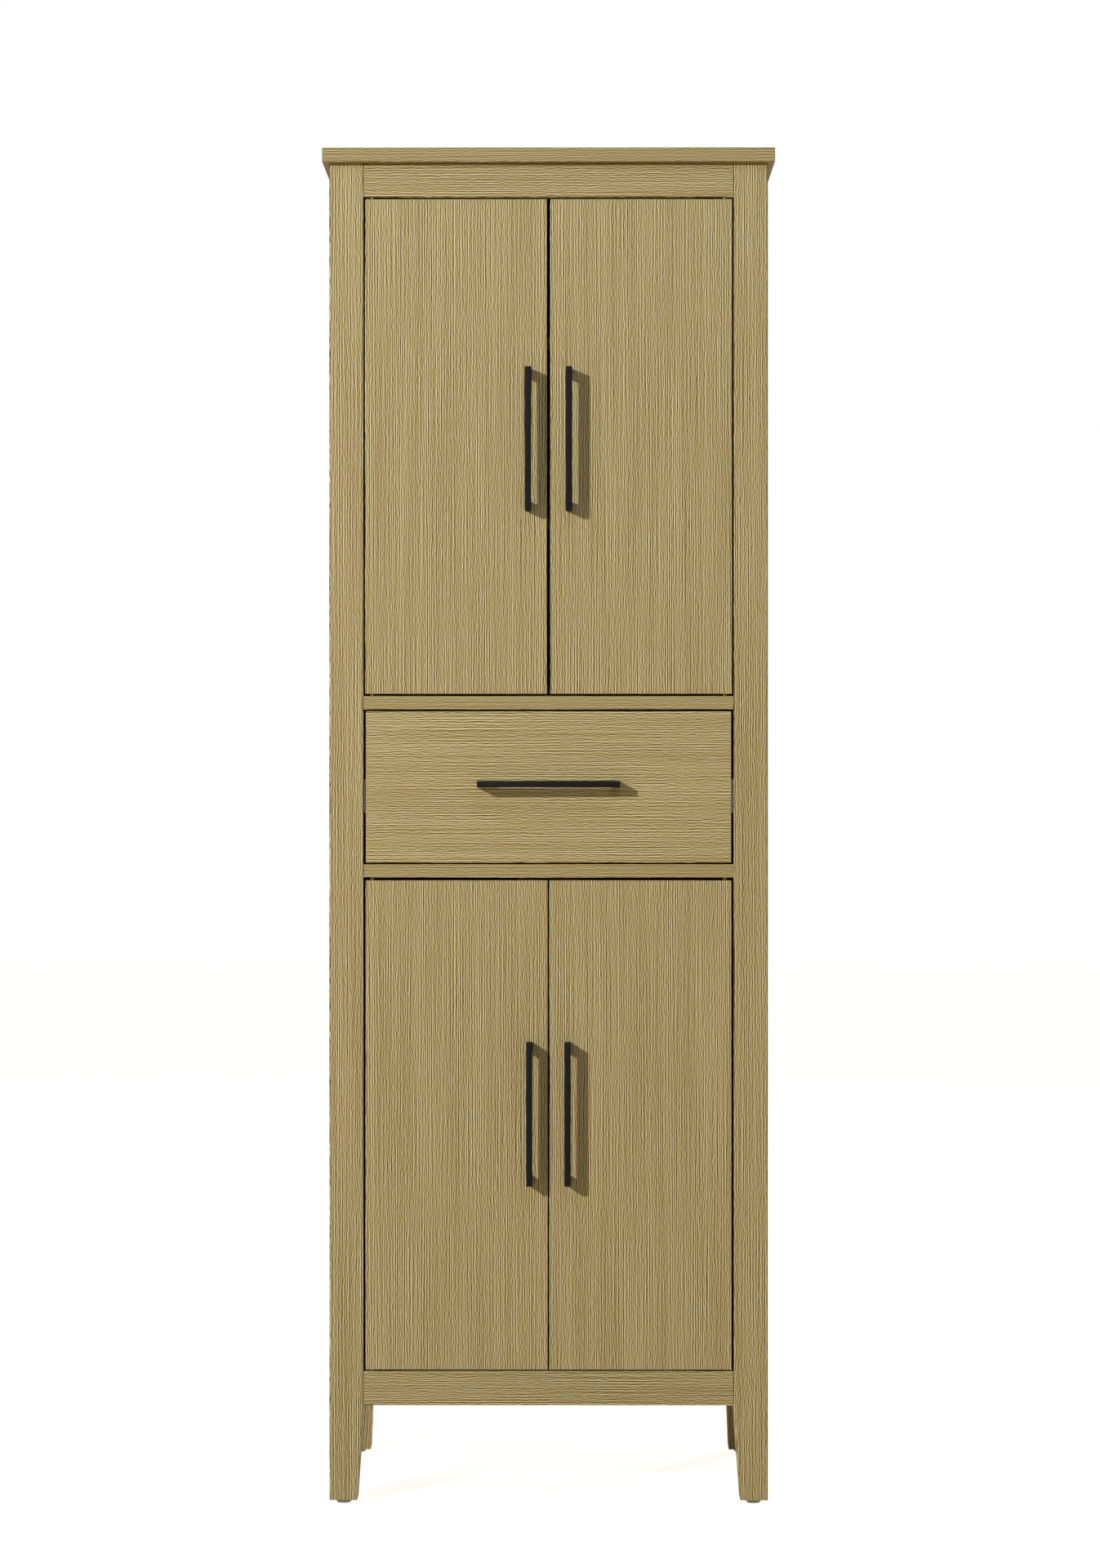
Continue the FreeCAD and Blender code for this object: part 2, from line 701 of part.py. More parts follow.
def make_drawer():
    """A drawer box with a false front, a bottom board in grooves and a bar handle."""
    reach = inner_half - d.drawer_side_gap
    low = (-reach, face_y, drawer_floor + d.drawer_foot_gap)
    board("drawer_front", low, (reach, door_back, drawer_ceiling - d.drawer_head_gap))
    inside = box_half - d.drawer_board
    ends = {"drawer_inner_front": door_back, "drawer_back": box_back - d.drawer_board}
    for node, near in ends.items():
        piece(node, block(node, (-inside, near, box_floor), (inside, near + d.drawer_board, box_top)))
    for side in (LEFT, RIGHT):
        node = f"drawer_{SIDE_NAMES[side]}_side"
        low_x, high_x = span(side, inside, box_half)
        piece(node, block(node, (low_x, door_back, box_floor), (high_x, box_back, box_top)))
        into = "-x" if side == RIGHT else "+x"
        for end, near in ends.items():
            for level_name, level in (
                ("low", box_floor + d.drawer_corner_screw_inset),
                ("high", box_top - d.drawer_corner_screw_inset),
            ):
                at = (box_half * side, near + d.drawer_board / 2, level)
                name = f"{end}_{SIDE_NAMES[side]}_{level_name}_screw"
                length = d.drawer_board + d.screw_length
                screw(name, "drawer_screws", at, into, length, node, end)
        for level_name, level in (
            ("low", box_floor + d.drawer_corner_screw_inset),
            ("high", box_top - d.drawer_corner_screw_inset),
        ):
            at = ((inside - d.drawer_front_screw_inset) * side, door_back + d.drawer_board, level)
            name = f"drawer_front_{SIDE_NAMES[side]}_{level_name}_screw"
            length = d.drawer_board + d.screw_length - d.screw_head_height
            screw(name, "drawer_screws", at, "-y", length, "drawer_inner_front", "drawer_front")
    spread = inside + d.drawer_groove
    bottom_z = box_floor + d.drawer_bottom_lift
    low = (-spread, door_back + d.drawer_board - d.drawer_groove, bottom_z)
    high = (spread, box_back - d.drawer_board + d.drawer_groove, bottom_z + d.drawer_bottom_thickness)
    bottom = piece("drawer_bottom", block("drawer_bottom", low, high))
    carve(bottom, "drawer_left_side", "drawer_right_side", "drawer_inner_front", "drawer_back")
    handle_at = (ZERO, face_y, (drawer_floor + drawer_ceiling) / 2 + d.drawer_handle_rise)
    boards = d.door_thickness + d.drawer_board
    bored = ("drawer_front", "drawer_inner_front")
    make_handle("drawer_handle", "drawer_screws", handle_at, False, boards, *bored)


def channel(node, side, web, lip, half_height):
    """A rolled channel along the depth, with its web at one x and its two lips reaching to another."""
    body = doc.addObject("PartDesign::Body", f"{node}_body")
    inward = -1 if lip.number < web.number else 1
    wall = d.slide_wall * inward
    corners = [
        (web, -half_height),
        (lip, -half_height),
        (lip, d.slide_wall - half_height),
        (web + wall, d.slide_wall - half_height),
        (web + wall, half_height - d.slide_wall),
        (lip, half_height - d.slide_wall),
        (lip, half_height),
        (web, half_height),
    ]
    corners = [(x * side, z) for x, z in corners]
    pad(body, outline(body, f"{node}_section", "XZ_Plane", corners), box_back - slide_front, reverse=True)
    place(body, (ZERO, slide_front, slide_level))
    return piece(node, body)


def make_slides():
    """Full-extension slides: a channel on the cabinet, one on the drawer and one that runs in between."""
    step = d.slide_wall + d.slide_clearance
    half = d.slide_height / 2
    for side in (LEFT, RIGHT):
        name = SIDE_NAMES[side]
        spacer = f"{name}_runner_spacer"
        low_x, high_x = span(side, inner_half, side_inner)
        low = (low_x, front_post_back, slide_level - d.spacer_height / 2)
        high = (high_x, rear_post_front, slide_level + d.spacer_height / 2)
        blanks[spacer] = block(spacer, low, high)
        collect("runner_spacers", spacer)

        cabinet = f"{name}_slide_cabinet_member"
        middle = f"{name}_slide_middle_member"
        drawer = f"{name}_slide_drawer_member"
        channel(cabinet, side, inner_half, inner_half - d.slide_lip, half)
        channel(middle, side, inner_half - step, inner_half - d.slide_lip - d.slide_clearance, half - step)
        channel(drawer, side, box_half, inner_half - step * 2, half - step * 2)

        outward = "+x" if side == RIGHT else "-x"
        inward = "-x" if side == RIGHT else "+x"
        for number, (near, holder) in enumerate((
            (slide_front + d.slide_screw_inset, f"front_{name}_post"),
            ((front_post_back + rear_post_front) / 2, spacer),
            (rear_post_front - d.slide_screw_inset, spacer),
        )):
            at = ((inner_half - d.slide_wall) * side, near, slide_level)
            screw(f"{cabinet}_screw_{number}", "carcass_screws", at, outward, d.screw_length, cabinet, holder)
            at = ((box_half + d.slide_wall) * side, near, slide_level)
            length = d.drawer_board
            board_node = f"drawer_{name}_side"
            screw(f"{drawer}_screw_{number}", "drawer_screws", at, inward, length, drawer, board_node)


def make_carcass():
    """Posts, boards and rails of the fixed cabinet, under an overhanging top."""
    reach = half_width + d.top_side_overhang
    board("top_panel", (-reach, face_y - d.top_front_overhang, post_top), (reach, back_y, d.cabinet_height))
    for end in (FRONT, REAR):
        for side in (LEFT, RIGHT):
            make_post(side, end)
    make_sides_and_back()
    make_rails()
    bottom = lower_floor - d.bottom_thickness
    rail_back = face_y + d.rail_thickness
    make_flat_board("bottom_panel", rail_back, back_face - d.rail_thickness, bottom, d.bottom_thickness)
    make_flat_board("lower_divider", face_y, back_face, lower_ceiling, d.divider_thickness)
    make_flat_board("upper_divider", face_y, back_face, drawer_ceiling, d.divider_thickness)
    upper_space = (post_top - upper_floor - d.shelf_thickness * 2) / 3
    make_shelf("upper_shelf_low", upper_floor + upper_space)
    make_shelf("upper_shelf_high", upper_floor + upper_space * 2 + d.shelf_thickness)
    make_shelf("lower_shelf", lower_floor + (d.lower_opening - d.shelf_thickness) / 2)


make_carcass()
make_slides()
make_drawer()
for hand in (LEFT, RIGHT):
    make_door("upper", hand)
    make_door("lower", hand)
make_catch("upper", upper_floor, 1, "upper_divider")
make_catch("lower", lower_ceiling, -1, "lower_divider")

# Each blank is cut once by everything that is let into it, and like pieces are gathered into one node.
finished = {}
for node, blank in blanks.items():
    solid = blank
    if node in cutters:
        solid = doc.addObject("Part::Cut", f"{node}_piece")
        solid.Base = blank
        solid.Tool = fused(f"{node}_cutters", cutters[node]) if len(cutters[node]) > 1 else cutters[node][0]
    finished[node] = solid
for node, members in groups.items():
    gathered = doc.addObject("Part::Compound", f"{node}_group")
    gathered.Links = [finished.pop(member) if isinstance(member, str) else member for member in members]
    finished[node] = gathered
for node, solid in finished.items():
    solid.Label = node
doc.recompute()

for thing in doc.Objects:
    if "Invalid" in thing.State or "Error" in thing.State:
        raise RuntimeError(f"{thing.Label} failed: {thing.State}")
for node, solid in finished.items():
    if solid.Shape.isNull() or not solid.Shape.isValid() or not solid.Shape.Solids:
        raise RuntimeError(f"{node} has no valid shape")

os.makedirs("parts", exist_ok=True)
for node, solid in finished.items():
    solid.Shape.exportStep(f"parts/{node}.step")
print(len(finished), "nodes written")
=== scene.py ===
"""Looks of a tall bathroom linen cabinet: oak-look laminate, black bar handles and the fittings inside.

Metres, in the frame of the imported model: +Z is up and the front faces -Y.
"""
import math

import bmesh
import bpy
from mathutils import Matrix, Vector


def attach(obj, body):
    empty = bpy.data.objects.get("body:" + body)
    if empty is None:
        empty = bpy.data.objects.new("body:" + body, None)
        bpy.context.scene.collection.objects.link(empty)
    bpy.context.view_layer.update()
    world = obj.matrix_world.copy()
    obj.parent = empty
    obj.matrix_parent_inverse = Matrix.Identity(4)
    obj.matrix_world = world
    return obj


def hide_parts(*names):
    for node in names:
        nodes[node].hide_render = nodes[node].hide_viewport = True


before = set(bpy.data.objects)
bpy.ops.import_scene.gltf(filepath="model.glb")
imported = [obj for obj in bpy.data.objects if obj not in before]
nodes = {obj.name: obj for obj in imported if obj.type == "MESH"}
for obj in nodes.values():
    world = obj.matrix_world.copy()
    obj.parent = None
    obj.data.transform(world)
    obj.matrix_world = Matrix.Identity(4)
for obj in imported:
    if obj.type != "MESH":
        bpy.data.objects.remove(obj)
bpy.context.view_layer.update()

# Corner posts: square lengths of fibreboard wrapped in oak-look laminate, with the grain upright.
# Each runs down into a leg that tapers on its two inner faces.
# The rails and the top are dowelled to them.


def add_node(tree, kind, inputs=None, **settings):
    """Adds one node to a tree, with its settings, and links or sets its inputs by name or number."""
    made = tree.nodes.new(kind)
    for name, value in settings.items():
        setattr(made, name, value)
    for name, value in (inputs or {}).items():
        if isinstance(value, bpy.types.NodeSocket):
            tree.links.new(value, made.inputs[name])
        else:
            made.inputs[name].default_value = value
    return made


def vector_step(tree, operation, *inputs):
    """One step of arithmetic on vectors, with all its outputs."""
    return add_node(tree, "ShaderNodeVectorMath", dict(enumerate(inputs)), operation=operation).outputs


def number_step(tree, operation, *inputs):
    """One step of arithmetic on numbers."""
    return add_node(tree, "ShaderNodeMath", dict(enumerate(inputs)), operation=operation).outputs[0]


def spread(tree, value, low, high, to_low=0.0, to_high=1.0):
    """Carries a value from one range to another, held at the ends."""
    limits = {"From Min": low, "From Max": high, "To Min": to_low, "To Max": to_high}
    return add_node(tree, "ShaderNodeMapRange", {"Value": value, **limits}).outputs[0]


def srgb(red, green, blue):
    """A colour as it is read off a screen, 0 to 255, turned into Blender's linear values."""
    values = [channel / 255 for channel in (red, green, blue)]
    linear = [v / 12.92 if v <= 0.04045 else ((v + 0.055) / 1.055) ** 2.4 for v in values]
    return (*linear, 1.0)


def new_material(name):
    """A material with its node tree and its shader."""
    material = bpy.data.materials.new(name)
    material.use_nodes = True
    tree = material.node_tree
    return material, tree, tree.nodes["Principled BSDF"]


def colour_ramp(tree, value, colours):
    """A ramp with its colours evenly spaced."""
    ramp = add_node(tree, "ShaderNodeValToRGB", {"Fac": value})
    stops = ramp.color_ramp.elements
    stops[0].color = colours[0]
    stops[1].color = colours[-1]
    for number, colour in enumerate(colours[1:-1], start=1):
        stops.new(number / (len(colours) - 1)).color = colour
    return ramp.outputs[0]


def mixed_colours(tree, share, first, second):
    """The first colour, with a share of the second."""
    return add_node(tree, "ShaderNodeMix", {0: share, 6: first, 7: second}, data_type="RGBA").outputs[2]


def noise(tree, vector, cells, detail=0.0, dimensions="3D"):
    """Noise of so many cells per metre along each axis."""
    stretched = vector_step(tree, "MULTIPLY", vector, cells)[0]
    inputs = {"Vector": stretched, "Scale": 1.0, "Detail": detail}
    return add_node(tree, "ShaderNodeTexNoise", inputs, noise_dimensions=dimensions).outputs


def across_and_along(grain, across, along):
    """One number for the two axes across the grain and another for the axis along it."""
    return tuple(along if axis == grain else across for axis in "xyz")


def thin_lines(tree, strip, cells, aside):
    """Lines as thin as a cell of noise: each place less the two beside it, so that wide shades drop out."""
    relief = 0.0
    for shift, share in ((0.0, 1.0), (aside, -0.5), (-aside, -0.5)):
        place = vector_step(tree, "ADD", strip, (shift, 0.0, 0.0))[0]
        line = noise(tree, place, cells, dimensions="2D")[0]
        relief = number_step(tree, "MULTIPLY_ADD", line, share, relief)
    return relief


def pressed_grain(tree, coordinates, grain, banded=""):
    """How light the grain is, 0 to 1: thin streaks that waver a little, with plainer edge bands.

    grain is the axis that the streaks run along. banded names the axes that the edge bands face.
    """
    place = coordinates["Object"]
    bend_cells = across_and_along(grain, 7.0, 16.0)
    sway = across_and_along(grain, 0.0004, 0.0)
    bends = noise(tree, place, bend_cells, detail=1.0)["Color"]
    sideways = vector_step(tree, "SUBTRACT", bends, (0.5, 0.5, 0.5))[0]
    fibre = vector_step(tree, "MULTIPLY_ADD", sideways, sway, place)[0]
    across = vector_step(tree, "DOT_PRODUCT", fibre, across_and_along(grain, 1.0, 0.0))["Value"]
    along = vector_step(tree, "DOT_PRODUCT", fibre, across_and_along(grain, 0.0, 1.0))["Value"]
    strip = add_node(tree, "ShaderNodeCombineXYZ", {"X": across, "Y": along}).outputs[0]

    shade_cells = (80.0, 2.5, 1.0)
    shade_depth = 0.03
    wide_shades = noise(tree, strip, shade_cells, dimensions="2D")[0]
    relief = spread(tree, wide_shades, 0.2, 0.8, -shade_depth, shade_depth)

    # cells per metre across and along the grain, and depth
    long_lines = (714.0, 5.0, 0.707)
    broken_lines = (714.0, 45.0, 0.353)
    short_pores = (833.0, 111.0, 0.636)
    cells_aside = 0.915
    for across_cells, along_cells, depth in (long_lines, broken_lines, short_pores):
        lines = thin_lines(tree, strip, (across_cells, along_cells, 1.0), cells_aside / across_cells)
        relief = number_step(tree, "MULTIPLY_ADD", lines, depth, relief)

    if banded:
        band_depth = 0.57
        band_axes = tuple(1.0 if axis in banded else 0.0 for axis in "xyz")
        facing = vector_step(tree, "ABSOLUTE", coordinates["Normal"])[0]
        on_band = vector_step(tree, "DOT_PRODUCT", facing, band_axes)["Value"]
        relief = number_step(tree, "MULTIPLY", relief, spread(tree, on_band, 0.6, 0.8, 1.0, band_depth))
    full_depth = 0.4
    return spread(tree, relief, -full_depth, full_depth)


def oak_colour(tree, coordinates, grain, streak, tone=1.0):
    """The oak print: brown to straw along the streaks, with wide patches that turn a little rosy."""
    print_shades = ((62, 40, 0), (128, 107, 48), (165, 147, 97), (202, 185, 142), (230, 214, 175))
    rosy_shade = (172, 145, 101)
    rosy_share = 0.25
    linear_shades = [srgb(*shade) for shade in print_shades]
    toned_shades = [(red * tone, green * tone, blue * tone, 1.0) for red, green, blue, _ in linear_shades]
    grained = colour_ramp(tree, streak, toned_shades)
    patches = noise(tree, coordinates["Object"], across_and_along(grain, 26.0, 2.2), detail=2.0)[0]
    rosiness = spread(tree, patches, 0.5, 0.75, 0.0, rosy_share)
    return mixed_colours(tree, rosiness, grained, srgb(*rosy_shade))


def matt_surface(tree, shader, height, roughness, relief, specular=0.25):
    """Lets the same streaks or flecks that colour a surface roughen it and stand out from it."""
    tree.links.new(spread(tree, height, 0.0, 1.0, *roughness), shader.inputs["Roughness"])
    bump = add_node(tree, "ShaderNodeBump", {"Strength": 0.3, "Distance": relief, "Height": height})
    tree.links.new(bump.outputs[0], shader.inputs["Normal"])
    shader.inputs["Specular IOR Level"].default_value = specular


def oak_laminate(name, grain, banded="", tone=1.0):
    """Oak-look laminate, matt, with its streaks pressed in."""
    material, tree, shader = new_material(name)
    coordinates = add_node(tree, "ShaderNodeTexCoord").outputs
    streak = pressed_grain(tree, coordinates, grain, banded)
    tree.links.new(oak_colour(tree, coordinates, grain, streak, tone), shader.inputs["Base Color"])
    matt_surface(tree, shader, streak, roughness=(0.64, 0.5), relief=0.0003)
    return material


def coat(material, *names):
    """Gives carried-over solids their finish in place of the plain one that they come with."""
    for name in names:
        mesh = nodes[name].data
        mesh.materials.clear()
        mesh.materials.append(material)


upright_oak = oak_laminate("oak_laminate_upright", grain="z", banded="z")
coat(upright_oak, "front_left_post", "front_right_post", "rear_left_post", "rear_right_post")

# Floor glides: four round feet of moulded grey plastic that keep the legs off a wet floor.
# Each has a nail that is driven up into the end of a leg.
same_point = 1e-6  # points nearer than this are one


def solids_of(name):
    """The separate solids of one carried-over node, each as a list of its points."""
    mesh = bmesh.new()
    mesh.from_mesh(nodes[name].data)
    bmesh.ops.remove_doubles(mesh, verts=mesh.verts, dist=same_point)
    waiting = set(mesh.verts)
    solids = []
    while waiting:
        front = [waiting.pop()]
        points = []
        while front:
            vertex = front.pop()
            points.append(vertex.co.copy())
            near = {edge.other_vert(vertex) for edge in vertex.link_edges} & waiting
            waiting -= near
            front.extend(near)
        solids.append(points)
    mesh.free()
    return solids


def box_of(points):
    """The lowest and highest corner of some points."""
    low = Vector(min(point[axis] for point in points) for axis in range(3))
    high = Vector(max(point[axis] for point in points) for axis in range(3))
    return low, high


def keep_mesh(name, mesh, material=None):
    """Makes an object of a finished bmesh, at the origin."""
    data = bpy.data.meshes.new(name)
    bmesh.ops.recalc_face_normals(mesh, faces=mesh.faces)
    mesh.to_mesh(data)
    mesh.free()
    made = bpy.data.objects.new(name, data)
    bpy.context.scene.collection.objects.link(made)
    if material:
        data.materials.append(material)
    return made


def soften(made, sharp_from=40.0):
    """Smooth shading across gentle bends, with edges above the angle, in degrees, kept sharp."""
    made.data.shade_smooth()
    made.data.set_sharp_from_angle(angle=math.radians(sharp_from))


def lathe(name, profile, segments=32):
    """Turns a profile of (radius, height) points round the upright axis, into a closed shape."""
    mesh = bmesh.new()
    angles = [2.0 * math.pi * step / segments for step in range(segments)]
    rings = []
    for radius, height in profile:
        ring = []
        for angle in angles if radius else [0.0]:
            ring.append(mesh.verts.new((radius * math.cos(angle), radius * math.sin(angle), height)))
        rings.append(ring)
    for lower, upper in zip(rings, rings[1:]):
        for step in range(segments):
            following = step + 1
            corners = [
                lower[step % len(lower)], lower[following % len(lower)],
                upper[following % len(upper)], upper[step % len(upper)],
            ]
            mesh.faces.new(list(dict.fromkeys(corners)))
    return keep_mesh(name, mesh)


def fitting_finish(name, dark, light, cells, roughness, metallic=0.0, relief=0.0, specular=0.5):
    """A moulded, coated or plated finish with a fine mottle in its colour, gloss and surface."""
    material, tree, shader = new_material(name)
    place = add_node(tree, "ShaderNodeTexCoord").outputs["Object"]
    mottle = spread(tree, noise(tree, place, cells, detail=3.0)[0], 0.3, 0.7)
    colour = colour_ramp(tree, mottle, [srgb(*dark), srgb(*light)])
    tree.links.new(colour, shader.inputs["Base Color"])
    matt_surface(tree, shader, mottle, roughness, relief, specular)
    shader.inputs["Metallic"].default_value = metallic
    return material


def new_tree(name, *sockets):
    """A Geometry Nodes tree with named inputs. Returns it with the outputs of its input node."""
    tree = bpy.data.node_groups.new(name, "GeometryNodeTree")
    tree.interface.new_socket("Geometry", in_out="INPUT", socket_type="NodeSocketGeometry")
    tree.interface.new_socket("Geometry", in_out="OUTPUT", socket_type="NodeSocketGeometry")
    for label, kind in sockets:
        tree.interface.new_socket(label, in_out="INPUT", socket_type=f"NodeSocket{kind}")
    return tree, tree.nodes.new("NodeGroupInput").outputs


def named_values(tree, name, kind="FLOAT"):
    """What the points of a tree carry under a name."""
    return add_node(tree, "GeometryNodeInputNamedAttribute", {"Name": name}, data_type=kind).outputs[0]


def on_every_point(tree, inputs, part):
    """Copies of a part on the points of a tree, each with its upward axis turned to the point's facing."""
    facing = named_values(tree, "facing", "FLOAT_VECTOR")
    turn = add_node(tree, "FunctionNodeAlignRotationToVector", {"Vector": facing}, axis="Z")
    copies = add_node(tree, "GeometryNodeInstanceOnPoints", {
        "Points": inputs["Geometry"], "Instance": part, "Rotation": turn.outputs[0],
    })
    return add_node(tree, "GeometryNodeRealizeInstances", {"Geometry": copies.outputs[0]}).outputs[0]


def end_tree(tree, inputs, geometry):
    """Gives the result of a tree its finish and sends it out."""
    finish = add_node(tree, "GeometryNodeSetMaterial", {"Geometry": geometry, "Material": inputs["Finish"]})
    tree.links.new(finish.outputs[0], tree.nodes.new("NodeGroupOutput").inputs[0])


def grow(tree, name, places, **sizes):
    """Runs a tree on a list of (point, facing, length) and keeps the result as a plain mesh."""
    data = bpy.data.meshes.new(name)
    data.from_pydata([point for point, _, _ in places], [], [])
    facings = data.attributes.new("facing", "FLOAT_VECTOR", "POINT")
    facings.data.foreach_set("vector", [number for _, facing, _ in places for number in facing])
    lengths = data.attributes.new("length", "FLOAT", "POINT")
    lengths.data.foreach_set("value", [length for _, _, length in places])
    made = bpy.data.objects.new(name, data)
    bpy.context.scene.collection.objects.link(made)
    modifier = made.modifiers.new(name, "NODES")
    modifier.node_group = tree
    for item in tree.interface.items_tree:
        key = item.name.lower().replace(" ", "_")
        if item.in_out == "INPUT" and key in sizes:
            modifier[item.identifier] = sizes[key]
    graph = bpy.context.evaluated_depsgraph_get()
    result = bpy.data.meshes.new_from_object(made.evaluated_get(graph), depsgraph=graph)
    made.modifiers.clear()
    made.data = result
    result.name = name
    bpy.data.meshes.remove(data)
    soften(made)
    return made


def fit(made, body, slot, *replaced):
    """Fixes a finished piece to the body that it moves with, in place of the solids that it stands for."""
    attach(made, body)
    for name in replaced:
        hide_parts(name)


placed_fittings, fitting_inputs = new_tree(
    "placed_fittings", ("Fitting", "Object"), ("Finish", "Material"))
model = add_node(placed_fittings, "GeometryNodeObjectInfo", {"Object": fitting_inputs["Fitting"]})
fittings = on_every_point(placed_fittings, fitting_inputs, model.outputs["Geometry"])
end_tree(placed_fittings, fitting_inputs, fittings)

# The plastic is paler than the feet really are: painted light that lifts them out of the shade under the
# legs.
grey_plastic = fitting_finish(
    "grey_plastic", dark=(198, 197, 184), light=(214, 213, 200), cells=(900.0, 900.0, 900.0),
    roughness=(0.42, 0.6), relief=1e-4)
# radius and height from the floor up: foot, rounded lip, rim and nail
glide_profile = [
    (0.0, 0.0), (0.0074, 0.0), (0.0086, 0.0003), (0.0094, 0.001), (0.0099, 0.0019), (0.01, 0.0028),
    (0.01, 0.0052), (0.0097, 0.0058), (0.0092, 0.006), (0.002, 0.006), (0.002, 0.019), (0.0, 0.02),
]
glide_model = lathe("glide_model", glide_profile)
glide_height = glide_profile[-1][1]
glide_places = []
for points in solids_of("floor_glides"):
    low, high = box_of(points)
    foot = ((low.x + high.x) / 2, (low.y + high.y) / 2, low.z)
    glide_places.append((foot, (0.0, 0.0, 1.0), glide_height))
glides = grow(
    placed_fittings, "turned_floor_glides", glide_places, fitting=glide_model, finish=grey_plastic)
bpy.data.objects.remove(glide_model)
fit(glides, "carcass", "grey_plastic", "floor_glides")

# Sides and back: laminated boards that stand in grooves in the posts, grain upright like theirs.
# The thin back board shows raw pressed fibre on the side that faces the wall.
# It has two holes for wall screws.
coat(upright_oak, "left_side_panel", "right_side_panel")


def pressed_fibre(name, faced=False):
    """Brown pressed fibreboard, with the oak print on the side towards the front where it is faced."""
    fibre_shades = ((104, 78, 50), (146, 114, 77), (178, 147, 106))
    fleck_share = 0.85
    material, tree, shader = new_material(name)
    coordinates = add_node(tree, "ShaderNodeTexCoord").outputs
    flecks = noise(tree, coordinates["Object"], (520.0, 520.0, 520.0), detail=4.0)[0]
    clouds = noise(tree, coordinates["Object"], (14.0, 14.0, 14.0), detail=2.0)[0]
    fine_mottle = spread(tree, flecks, 0.3, 0.7, 0.0, fleck_share)
    wide_mottle = spread(tree, clouds, 0.3, 0.7, 0.0, 1.0 - fleck_share)
    mottle = number_step(tree, "ADD", fine_mottle, wide_mottle)
    colour = colour_ramp(tree, mottle, [srgb(*shade) for shade in fibre_shades])
    if faced:
        streak = pressed_grain(tree, coordinates, "z")
        printed = oak_colour(tree, coordinates, "z", streak)
        towards_front = vector_step(tree, "DOT_PRODUCT", coordinates["Normal"], (0.0, -1.0, 0.0))["Value"]
        colour = mixed_colours(tree, spread(tree, towards_front, 0.4, 0.6), colour, printed)
    tree.links.new(colour, shader.inputs["Base Color"])
    matt_surface(tree, shader, mottle, roughness=(0.95, 0.7), relief=0.0002, specular=0.15)
    return material


coat(pressed_fibre("oak_faced_fibreboard", faced=True), "back_panel")

# Rails, dividers and floor board: laminated boards with the grain level.
# The rails and dividers show their edges between the doors and the drawer, with a hairline joint
# at each post.
# The rails, dividers, floor board and shelves take a darker copy of the print than the doors: painted
# shade.
painted_rail_shade = 0.94
level_oak = oak_laminate("oak_laminate_level", grain="x", tone=painted_rail_shade)
coat(level_oak, "top_front_rail", "bottom_front_rail", "rear_top_rail", "rear_bottom_rail")
banded_oak = oak_laminate("oak_laminate_edge_banded", grain="x", banded="xy", tone=painted_rail_shade)
coat(banded_oak, "upper_divider", "lower_divider", "bottom_panel")

# Dowels: fluted beech pegs, glued across the joints between posts, rails, boards and top.
# None of them shows once the cabinet is together.


def peg_places(name):
    """Where a node's round pegs lie: the middle of the wide end, the way that it faces, and the length."""
    at_end = 1e-5
    places = []
    for points in solids_of(name):
        low, high = box_of(points)
        size = high - low
        axis = max(range(3), key=lambda number: size[number])
        widths = {}
        for end in (low[axis], high[axis]):
            end_low, end_high = box_of([point for point in points if abs(point[axis] - end) < at_end])
            widths[end] = (end_high - end_low).length
        head = max(widths, key=widths.get)
        middle = (low + high) / 2
        middle[axis] = head
        facing = Vector()
        facing[axis] = 1.0 if head == high[axis] else -1.0
        places.append((middle, facing, size[axis]))
    return places


def upright(tree, height):
    """A step of that height along the upright axis."""
    return add_node(tree, "ShaderNodeCombineXYZ", {"Z": height}).outputs[0]


def scaled(tree, vector, scale):
    """A vector made longer or shorter, or turned round by a scale below nought."""
    return add_node(tree, "ShaderNodeVectorMath", {0: vector, "Scale": scale}, operation="SCALE").outputs[0]


def moved(tree, part, offset, **changes):
    """A part moved by an offset, and turned or scaled where the changes say so."""
    inputs = {"Geometry": part, "Translation": offset, **changes}
    return add_node(tree, "GeometryNodeTransform", inputs).outputs[0]


def joined(tree, *parts):
    """Several parts as one."""
    join = tree.nodes.new("GeometryNodeJoinGeometry")
    for part in parts:
        tree.links.new(part, join.inputs[0])
    return join.outputs[0]


fluted_dowels, dowel_inputs = new_tree(
    "fluted_dowels", ("Diameter", "Float"), ("Length", "Float"), ("Flutes", "Int"), ("Finish", "Material"))
flute_root = 0.93
outer = number_step(fluted_dowels, "MULTIPLY", dowel_inputs["Diameter"], 0.5)
inner = number_step(fluted_dowels, "MULTIPLY", outer, flute_root)
star = add_node(fluted_dowels, "GeometryNodeCurveStar", {
    "Points": dowel_inputs["Flutes"], "Inner Radius": inner, "Outer Radius": outer,
})
section = add_node(fluted_dowels, "GeometryNodeFillCurve", {"Curve": star.outputs[0]})
whole_length = upright(fluted_dowels, dowel_inputs["Length"])
far_end = moved(fluted_dowels, section.outputs[0], scaled(fluted_dowels, whole_length, -1.0))
drawn = add_node(fluted_dowels, "GeometryNodeExtrudeMesh", {
    "Mesh": far_end, "Offset": whole_length, "Offset Scale": 1.0, "Individual": False,
})
cap = add_node(fluted_dowels, "GeometryNodeFlipFaces", {"Mesh": far_end})
open_peg = joined(fluted_dowels, drawn.outputs[0], cap.outputs[0])
peg = add_node(fluted_dowels, "GeometryNodeMergeByDistance", {"Geometry": open_peg, "Distance": same_point})
end_tree(fluted_dowels, dowel_inputs, on_every_point(fluted_dowels, dowel_inputs, peg.outputs[0]))

bare_beech = fitting_finish(
    "bare_beech", dark=(176, 140, 98), light=(206, 172, 128), cells=(380.0, 380.0, 40.0),
    roughness=(0.6, 0.8), relief=1e-4)
dowels = grow(
    fluted_dowels, "fluted_beech_dowels", peg_places("carcass_dowels"),
    diameter=0.008, length=0.03, flutes=18, finish=bare_beech)
fit(dowels, "carcass", "beech_dowel", "carcass_dowels")
